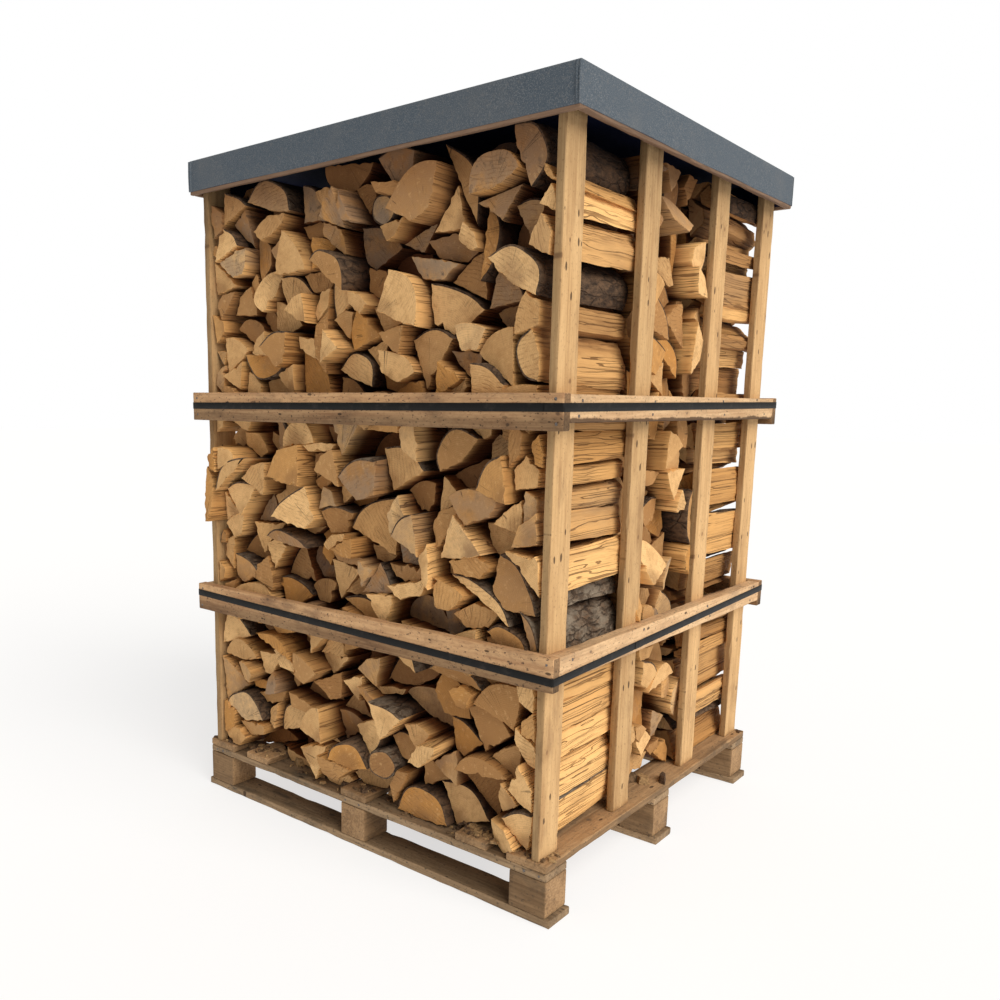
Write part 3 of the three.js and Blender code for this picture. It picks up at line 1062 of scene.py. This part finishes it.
def makeRows():
    materials = [makeEndGrain(logLooks), makeSplitFace(logLooks), makeBark("logBark", logLooks, 1.0),
                 makeBark("logBarkEdge", logLooks, 0.15)]
    zones = [(low.z - rowValues["railGap"], high.z + rowValues["railGap"]) for low, high in boxes("_rail_")]
    zones.append((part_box("lid_frame_front")[0].z - rowValues["lidGap"], 9.0))
    for name, sign in (("front", -1.0), ("back", 1.0)):
        node = "logs_" + name + "_row"
        low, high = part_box(node)
        random = np.random.default_rng(rowValues["seeds"][name])
        logs = stackLogs(high.x - low.x, deckLine(low.x), rowValues["ceiling"], random, logValues)
        spans = []
        for log in logs:
            moveLog(log, (low.x, 0.0))
            keptInside(log, low.x + rowValues["wallGap"], high.x - rowValues["wallGap"])
            outer, inner = (low.y, high.y) if sign < 0 else (high.y, low.y)
            length = random.uniform(*logValues["length"])
            slack = 0.0 if blocked(log, zones) else rowValues["freeOut"]
            span = spanOf(outer, inner, length, slack, random, rowValues)
            centre = log["outline"].mean(axis=0)
            bandLow, bandHigh = rowValues["looseBand"]
            nearCorner = sign < 0 and centre[0] < low.x + rowValues["looseWithin"]
            loose = nearCorner and bandLow < centre[1] < bandHigh
            if loose and not blocked(log, zones):
                span = (outer - rowValues["looseOut"], outer - rowValues["looseOut"] + length)
            nearWall = min(log["outline"][:, 0].min() - low.x, high.x - log["outline"][:, 0].max())
            if nearWall < rowValues["wallReach"] and not loose:
                ends = (outer - sign * random.uniform(0.0, rowValues["sideOutEnds"]),
                        inner + sign * rowValues["clearance"])
                span = (min(ends), max(ends))
            spans.append(span)
        band = rowValues["sideBand"]
        edges = (low.x + band, high.x - band)
        logRow(node + "_split", node, logs, 1, spans, materials, random, logValues,
               lambda log: log["outline"][:, 0].min() < edges[0] or log["outline"][:, 0].max() > edges[1])
        print(name, "row:", len(logs), "logs")
    makeMiddleRow(materials)


def makeMiddleRow(materials):
    node = "logs_middle_row"
    low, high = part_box(node)
    posts = boxes("post")
    third = (high.x - low.x) / 3
    random = np.random.default_rng(rowValues["seeds"]["middle"])
    logs, spans = [], []
    for column in range(3):
        stack = stackLogs(high.y - low.y, lambda places: np.full(len(places), low.z + rowValues["clearance"]),
                          rowValues["ceiling"], random, logValues)
        start, end = low.x + column * third, low.x + (column + 1) * third
        for log in stack:
            moveLog(log, (low.y, 0.0))
            keptInside(log, low.y + rowValues["middleGap"], high.y - rowValues["middleGap"])
            reach = log["outline"][:, 0]
            behindPost = any(reach.min() < b.y and reach.max() > a.y for a, b in posts)
            slack = 0.0 if behindPost else rowValues["sideOut"]
            length = random.uniform(*logValues["length"])
            if column == 1:
                spans.append((start + rowValues["columnGap"], end - rowValues["columnGap"]))
            else:
                behind = rowValues["behindColumn"]
                outer, inner = (start, end - behind) if column == 0 else (end, start + behind)
                spans.append(spanOf(outer, inner, length, slack, random, rowValues))
        logs += stack
    logRow(node + "_split", node, logs, 0, spans, materials, random, logValues, lambda log: False)
    print("middle row:", len(logs), "logs")


lidValues = {
    "colour": (0.066, 0.087, 0.110), "speck": (0.17, 0.185, 0.20), "dust": (0.145, 0.148, 0.150),
    "wall": 0.0018, "cornerRadius": 0.004, "topRound": 0.0045, "waviness": 0.0011,
    "foldProud": 0.0034, "foldSteps": 6, "sideStep": 0.035, "edgeWave": 0.0011, "wallSteps": 7, "seed": 7,
    "topShares": (0.985, 0.95, 0.86, 0.72, 0.52, 0.28),      # rings of the top, drawn in towards the centre
}


def makeLidMembrane(values):
    material, tree, shader = newMaterial("lidMembrane", roughness=0.72)
    shader.inputs["Specular IOR Level"].default_value = 0.35
    spot = objectPlace(tree)
    grit = noise(spot, 520.0, detail=2.0)
    coarse = noise(spot, 150.0)
    cloud = noise(spot, 7.0, detail=4.0)
    colour = mixed(between(grit, 0.46, 0.72), values["colour"], values["speck"])
    colour = tint(colour, values["dust"], between(coarse, 0.54, 0.70), 0.45)
    colour = tint(colour, values["dust"], between(cloud, 0.45, 0.75), 0.35)
    finished(shader, colour, timesPlus(coarse, 0.5, grit), 0.0008, 0.6)
    return material


def roundedRectangle(halfX, halfY, radius, step):
    # points anticlockwise, with outward directions
    points, outs = [], []
    for corner, (sx, sy) in enumerate([(1, -1), (1, 1), (-1, 1), (-1, -1)]):
        middle = np.array([sx * (halfX - radius), sy * (halfY - radius)])
        for angle in np.linspace(0, math.pi / 2, 5) + (corner - 1) * math.pi / 2:
            out = np.array([math.cos(angle), math.sin(angle)])
            points.append(middle + out * radius)
            outs.append(out)
        side = 2 * (halfX - radius) if corner in (1, 3) else 2 * (halfY - radius)
        ahead = np.array([-out[1], out[0]])
        count = int(side / step)
        for k in range(1, count):
            points.append(middle + out * radius + ahead * side * k / count)
            outs.append(out)
    return np.array(points), np.array(outs)


def makeLid(values):
    low, high = (np.array(corner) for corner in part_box("lid_cover"))
    centre, half = (low + high) / 2, (high - low) / 2
    random = np.random.default_rng(values["seed"])
    reach = half[:2] - values["waviness"]
    rim, outs = roundedRectangle(*reach, values["cornerRadius"], values["sideStep"])
    count = len(rim)
    top, bottom, bend = high[2], low[2], values["topRound"]
    edgeWave = ripple(random, rim, 2.2) * values["edgeWave"]
    lowerWave = ripple(random, rim, 1.6)
    upperWave = ripple(random, rim, 2.4)
    rings = []

    def addRing(spots, heights):
        rings.append(np.column_stack([spots + centre[:2], np.broadcast_to(heights, (count,))]))

    # the inner wall runs down and the outer wall up, so both face away from the sheet
    inner = rim - outs * values["wall"]
    addRing(inner, top - values["wall"])
    addRing(inner, bottom + 0.0008 + edgeWave)
    addRing(rim - outs * values["wall"] * 0.5, bottom + edgeWave)
    for share in np.linspace(0.0, 1.0, values["wallSteps"]):
        push = lowerWave * (1 - share) + upperWave * share
        push = values["waviness"] * push * math.sin(0.5 + 2.0 * share)
        height = bottom + 0.0009 + edgeWave * (1 - share) + (top - bend - bottom - 0.001) * share
        addRing(rim + outs * np.clip(push, -0.0012, 0.0011)[:, None], height)
    for angle in (25, 50, 75, 90):
        turn = math.radians(angle)
        addRing(rim - outs * bend * (1 - math.cos(turn)), top - bend * (1 - math.sin(turn)))
    for share in values["topShares"]:
        spots = (rim - outs * bend) * share
        addRing(spots, top - 0.0004 - 0.0006 * (1 - share) - 0.0005 * (1 + ripple(random, spots, 1.8)))
    points = [*map(tuple, np.concatenate(rings)), (*centre[:2], top - 0.001)]
    faces = tubeFaces(len(rings), count) + capFaces(len(rings), count)[:1]
    start = (len(rings) - 1) * count
    for i in range(count):
        faces.append((start + i, start + (i + 1) % count, len(points) - 1))
    for sx in (-1, 1):
        for sy in (-1, 1):
            addFold(points, faces, centre, half, sx, sy, bottom, top, values)
    makePiece("lid_cover_sheet", points, faces, [0] * len(faces), [makeLidMembrane(values)], {},
              ["lid_cover"], smoothAngle=30)
    print("lid made")


def addFold(points, faces, centre, half, sx, sy, bottom, top, values):
    # the folded corner: a narrow double strip on the long side, drawn in a little at its lower end
    profile = [(0.0, 0.0), (0.0, 0.5), (0.0010, 0.90), (0.0030, 1.0), (0.0046, 0.42), (0.0060, 0.38),
               (0.0076, 0.95), (0.0100, 1.0), (0.0125, 0.35), (0.0135, 0.0)]
    outerX = centre[0] + sx * (half[0] - 0.0008)
    faceY = centre[1] + sy * (half[1] - 0.0014)
    steps = values["foldSteps"]
    first = len(points)
    for step in range(steps + 1):
        share = step / steps
        z = bottom + 0.0006 + (top - 0.0032 - bottom) * share
        reach = 0.80 + 0.20 * share
        lift = values["foldProud"] * (0.7 + 0.3 * math.sin(3.0 * share))
        for u, v in profile:
            points.append((outerX - sx * u * reach, faceY + sy * v * lift, z))
    rings, count = steps + 1, len(profile)
    new = tubeFaces(rings, count, first) + capFaces(rings, count, first)
    faces += [face[::-1] if sx * sy > 0 else face for face in new]


strapValues = {
    "width": 0.0165, "thickness": 0.0011, "cornerRadius": 0.0035, "colour": (0.0095, 0.0090, 0.0085),
    "dust": (0.06, 0.05, 0.042),
    "weldLength": 0.034, "weldAt": {"upper": (0.50, "front"), "lower": (-0.20, "right")},
}


def makeStrapPlastic(values):
    material, tree, shader = newMaterial("strapPlastic", roughness=0.5)
    shader.inputs["Specular IOR Level"].default_value = 0.16
    spot = objectPlace(tree)
    dust = noise(spot, 38.0, detail=5.0, roughness=0.7)
    colour = mixed(times(between(dust, 0.50, 0.74), 0.35), values["colour"], values["dust"])
    weave = noise(spot, 900.0, detail=1.0)
    finished(shader, colour, weave, 0.0003, 0.5)
    return material


def strapHeights(node):
    # mean height of the strap at its four corners: front left, front right, back right, back left
    spots = np.array([tuple(vertex.co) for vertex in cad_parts[node].data.vertices])
    heights = []
    for sx, sy in ((-1, -1), (1, -1), (1, 1), (-1, 1)):
        reach = spots[:, 0] * sx + spots[:, 1] * sy
        heights.append(float(spots[reach > reach.max() - 0.003, 2].mean()))
    return heights


def sweepBand(points, faces, path, outs, width, thickness, closed):
    # a flat upright band along a path: closed into a loop, or with two cut ends
    section = [(-0.5, 0.0), (-0.5, 0.7), (-0.46, 1.0), (0.46, 1.0), (0.5, 0.7), (0.5, 0.0)]
    first, loops, count = len(points), len(section), len(path)
    for spot, out in zip(path, outs):
        for across, off in section:
            points.append(tuple(spot + np.array([0.0, 0.0, across * width]) + out * (off * thickness)))
    for step in range(count if closed else count - 1):
        for i in range(loops):
            a, b = first + step * loops + i, first + step * loops + (i + 1) % loops
            c, d = [first + ((step + 1) % count) * loops + (k % loops) for k in (i + 1, i)]
            faces.append((d, c, b, a))
    if not closed:
        faces.append(tuple(first + i for i in range(loops)))
        faces.append(tuple(first + (count - 1) * loops + i for i in reversed(range(loops))))


def makeStraps(values):
    material = makeStrapPlastic(values)
    for ring in ("upper", "lower"):
        node = ring + "_strap"
        low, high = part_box(node)
        heights = strapHeights(node)
        halfX, halfY = (high.x - low.x) / 2 - 0.001, (high.y - low.y) / 2 - 0.001
        rim, outs = roundedRectangle(halfX, halfY, values["cornerRadius"], 0.03)

        def heightAt(x, y):
            u, v = (x / halfX + 1) / 2, (y / halfY + 1) / 2
            return ((1 - u) * (1 - v) * heights[0] + u * (1 - v) * heights[1]
                    + u * v * heights[2] + (1 - u) * v * heights[3])

        path = np.array([(x, y, heightAt(x, y)) for x, y in rim])
        outward = np.column_stack([outs, np.zeros(len(outs))])
        points, faces = [], []
        sweepBand(points, faces, path, outward, values["width"], values["thickness"], True)
        at, side = values["weldAt"][ring]
        spots = np.linspace(-0.5, 0.5, 5) * values["weldLength"] + at
        if side == "front":
            weld = np.array([(x, -halfY - values["thickness"] * 0.9, heightAt(x, -halfY)) for x in spots])
            weldOut = np.tile([0.0, -1.0, 0.0], (5, 1))
        else:
            weld = np.array([(halfX + values["thickness"] * 0.9, y, heightAt(halfX, y)) for y in spots])
            weldOut = np.tile([1.0, 0.0, 0.0], (5, 1))
        sweepBand(points, faces, weld, weldOut, values["width"] * 0.985, values["thickness"], False)
        makePiece(node + "_band", points, faces, [0] * len(faces), [material], {}, [node],
                  smoothAngle=40)
    print("straps made")


nailValues = {
    "headRadius": 0.0034, "headHeight": 0.0016, "proud": 0.0007, "sides": 10, "seed": 3,
    "steel": (0.22, 0.21, 0.20), "rust": (0.10, 0.055, 0.03),
    "postShares": (0.22, 0.80), "railShares": (0.20, 0.82),      # how high the nails sit, as shares of a rail
    "postDrift": 0.014, "drift": 0.003, "blockDrift": 0.006,
    "railEnd": 0.016, "blockEnds": (0.02, 0.05),
}


def makeNailMetal(values):
    material, tree, shader = newMaterial("nailMetal", roughness=0.5)
    shader.inputs["Metallic"].default_value = 0.75
    rust = noise(objectPlace(tree), 700.0)
    colour = mixed(between(rust, 0.42, 0.62), values["steel"], values["rust"])
    tree.links.new(colour, shader.inputs["Base Color"])
    return material


def nailTree(material):
    tree = bpy.data.node_groups.new("nailHeads", "GeometryNodeTree")
    sockets = {}
    tree.interface.new_socket(name="Points", in_out="INPUT", socket_type="NodeSocketGeometry")
    for name, kind in (("Head Radius", "NodeSocketFloat"), ("Head Height", "NodeSocketFloat"),
                       ("Sides", "NodeSocketInt"), ("Seed", "NodeSocketInt")):
        sockets[name] = tree.interface.new_socket(name=name, in_out="INPUT", socket_type=kind).identifier
    tree.interface.new_socket(name="Nails", in_out="OUTPUT", socket_type="NodeSocketGeometry")
    given = place(tree, "NodeGroupInput")
    head = place(tree, "GeometryNodeMeshCone", {
        "Vertices": given.outputs["Sides"], "Depth": given.outputs["Head Height"],
        "Radius Bottom": given.outputs["Head Radius"],
        "Radius Top": times(given.outputs["Head Radius"], 0.8)})
    facing = place(tree, "GeometryNodeInputNamedAttribute", {"Name": "facing"}, data_type="FLOAT_VECTOR")
    turn = place(tree, "FunctionNodeAlignRotationToVector", {"Vector": facing.outputs[0]}, axis="Z")
    sizes = {2: 0.85, 3: 1.15, "Seed": given.outputs["Seed"]}
    vary = place(tree, "FunctionNodeRandomValue", sizes, data_type="FLOAT")
    onPoints = place(tree, "GeometryNodeInstanceOnPoints", {
        "Points": given.outputs["Points"], "Instance": head.outputs["Mesh"], "Rotation": turn.outputs[0],
        "Scale": vary.outputs[1]})
    real = place(tree, "GeometryNodeRealizeInstances", {0: onPoints.outputs[0]})
    paint = place(tree, "GeometryNodeSetMaterial", {"Geometry": real.outputs[0], "Material": material})
    done = place(tree, "NodeGroupOutput")
    tree.links.new(paint.outputs[0], done.inputs[0])
    return tree, sockets


def nailPlaces(values, random):
    # two nails where each post meets a rail, two at each end of the front and back rails, two over each block
    places = []

    def nudge(reach):
        return random.uniform(-reach, reach)

    for ring in ("upper", "lower"):
        for side, sx in (("left", -1), ("right", 1)):
            low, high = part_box(ring + "_rail_" + side)
            for postLow, postHigh in boxes("post"):
                if (postLow.x > 0) != (sx > 0):
                    continue
                for share in values["postShares"]:
                    y = (postLow.y + postHigh.y) / 2 + nudge(values["postDrift"])
                    z = low.z + (high.z - low.z) * share + nudge(values["drift"])
                    places.append(((high.x if sx > 0 else low.x, y, z), (sx, 0, 0)))
        for side, sy in (("front", -1), ("back", 1)):
            low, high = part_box(ring + "_rail_" + side)
            for x in (low.x + values["railEnd"], high.x - values["railEnd"]):
                for share in values["railShares"]:
                    z = low.z + (high.z - low.z) * share + nudge(values["drift"])
                    y = high.y if sy > 0 else low.y
                    places.append(((x + nudge(values["drift"]), y, z), (0, sy, 0)))
    for name, side in (("stringer_back", 1), ("stringer_front", -1)):
        low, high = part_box(name)
        near, far = values["blockEnds"]
        for x in (low.x + near, low.x + far, -near, near, high.x - far, high.x - near):
            y = low.y if side < 0 else high.y
            places.append(((x + nudge(values["blockDrift"]), y, (low.z + high.z) / 2), (0, side, 0)))
    return places


def makeNails(values):
    random = np.random.default_rng(values["seed"])
    places = nailPlaces(values, random)
    depth = values["proud"] - values["headHeight"]
    spots = [tuple(np.array(spot) + np.array(facing) * depth) for spot, facing in places]
    mesh = bpy.data.meshes.new("nailPlaces")
    mesh.from_pydata(spots, [], [])
    layer = mesh.attributes.new("facing", "FLOAT_VECTOR", "POINT")
    layer.data.foreach_set("vector", np.array([facing for _, facing in places], dtype=np.float32).ravel())
    holder = bpy.data.objects.new("nailPlaces", mesh)
    scene.collection.objects.link(holder)
    material = makeNailMetal(values)
    tree, sockets = nailTree(material)
    modifier = holder.modifiers.new("nails", "NODES")
    modifier.node_group = tree
    modifier[sockets["Head Radius"]] = values["headRadius"]
    modifier[sockets["Head Height"]] = values["headHeight"]
    modifier[sockets["Sides"]] = values["sides"]
    modifier[sockets["Seed"]] = values["seed"]
    made = bpy.data.meshes.new_from_object(holder.evaluated_get(bpy.context.evaluated_depsgraph_get()))
    holder.modifiers.clear()
    bpy.data.objects.remove(holder)
    nails = bpy.data.objects.new("nail_heads", made)
    scene.collection.objects.link(nails)
    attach(nails, "root")
    print("nails made:", len(places))


debrisValues = {
    "bits": 380, "size": (0.006, 0.024), "thickness": (0.002, 0.006), "corners": 5, "seed": 5,
    "onBearers": 0.6,            # share of the crumbs that lie on the outer bearers
    "chunksPerGap": 6, "chunksAtEdge": 3, "chunksOnBoard": 3,
    "chunkSize": (0.045, 0.085), "chunkThickness": (0.012, 0.019),
    "colours": [(0.12, 0.07, 0.04), (0.20, 0.12, 0.06), (0.42, 0.26, 0.12)],
}


def addBit(points, faces, spot, size, thick, corners, random):
    # a flat crumb lying at spot, narrower above than below
    sides = np.arange(corners) * 2 * math.pi / corners + random.uniform(-0.35, 0.35, corners)
    shape = np.column_stack([np.cos(sides), np.sin(sides)]) * (size / 2, size / 2 * random.uniform(0.3, 0.8))
    ring = turned(shape, random.uniform(0, math.pi))
    slope = random.uniform(-0.25, 0.25, 2) / size
    first = len(points)
    for level, shrink in ((0.0, 1.0), (thick, 0.75)):
        for u, v in ring * shrink:
            height = 0.0002 + level * (1 + u * slope[0] + v * slope[1])
            points.append((spot[0] + u, spot[1] + v, spot[2] + height))
    faces += capFaces(2, corners, first) + tubeFaces(2, corners, first)


def debrisPlaces(values, random):
    # where crumbs lie: on the outer bearers, near the ends of the deck boards, and between those boards
    decks = sorted(boxes("deck_board"), key=lambda box: box[0].x)
    bearers = [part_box("stringer_front"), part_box("stringer_back")]
    places = []

    def addChunk(x, y, z, share=1.0):
        size = random.uniform(*values["chunkSize"]) * share
        places.append(([x, y, z], size, random.uniform(*values["chunkThickness"])))

    for _ in range(values["bits"]):
        if random.random() < values["onBearers"]:
            low, high = bearers[random.integers(2)]
            spot = [random.uniform(low.x, high.x), random.uniform(low.y + 0.012, high.y - 0.012), high.z]
        else:
            low, high = decks[random.integers(len(decks))]
            along = random.uniform(0.01, 0.06)
            spot = [random.uniform(low.x + 0.01, high.x - 0.01),
                    low.y + along if random.random() < 0.5 else high.y - along, high.z]
        for low, high in decks:
            if low.x - 0.012 < spot[0] < high.x + 0.012 and low.y < spot[1] < high.y:
                spot[2] = high.z
        places.append((spot, random.uniform(*values["size"]), random.uniform(*values["thickness"])))
    bearerLow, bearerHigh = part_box("stringer_middle")
    for before, after in zip(decks, decks[1:]):
        for k in range(values["chunksPerGap"]):
            share = (k + 0.5) / values["chunksPerGap"]
            x = before[1].x + (after[0].x - before[1].x) * share
            addChunk(x, random.uniform(bearerLow.y + 0.03, bearerHigh.y - 0.03), bearerHigh.z)
        for low, high in bearers:
            inward = 1 if high.y < 0 else -1
            edge = low.y if inward > 0 else high.y
            for k in range(values["chunksAtEdge"]):
                share = (k + random.uniform(0.2, 0.8)) / values["chunksAtEdge"]
                x = before[1].x + (after[0].x - before[1].x) * share
                addChunk(x, edge + inward * random.uniform(0.046, 0.075), high.z)
    for low, high in decks:
        for k in range(values["chunksOnBoard"]):
            x = low.x + (high.x - low.x) * (k + 0.5) / values["chunksOnBoard"]
            addChunk(x, random.uniform(-0.16, 0.16), high.z, 0.9)
    return places


def makeDebris(values):
    random = np.random.default_rng(values["seed"])
    points, faces, slots = [], [], []
    for spot, size, thick in debrisPlaces(values, random):
        addBit(points, faces, spot, size, thick, values["corners"], random)
        slots += [int(random.integers(len(values["colours"])))] * (values["corners"] + 2)
    materials = []
    for index, colour in enumerate(values["colours"]):
        material, tree, shader = newMaterial("debris" + str(index), roughness=0.9)
        grimeAndShade = noise(objectPlace(tree), 160.0)
        darker = tuple(0.5 * part for part in colour)
        tree.links.new(mixed(between(grimeAndShade, 0.4, 0.65), colour, darker), shader.inputs["Base Color"])
        materials.append(material)
    makePiece("bark_debris", points, faces, slots, materials, {})
    print("debris made")


makeCamera(cameraValues)
makeLight(lightValues)
makeFloor(floorValues)
makeBoards(boardValues, sawnValues)
makeRows()
makeLid(lidValues)
makeStraps(strapValues)
makeNails(nailValues)
makeDebris(debrisValues)
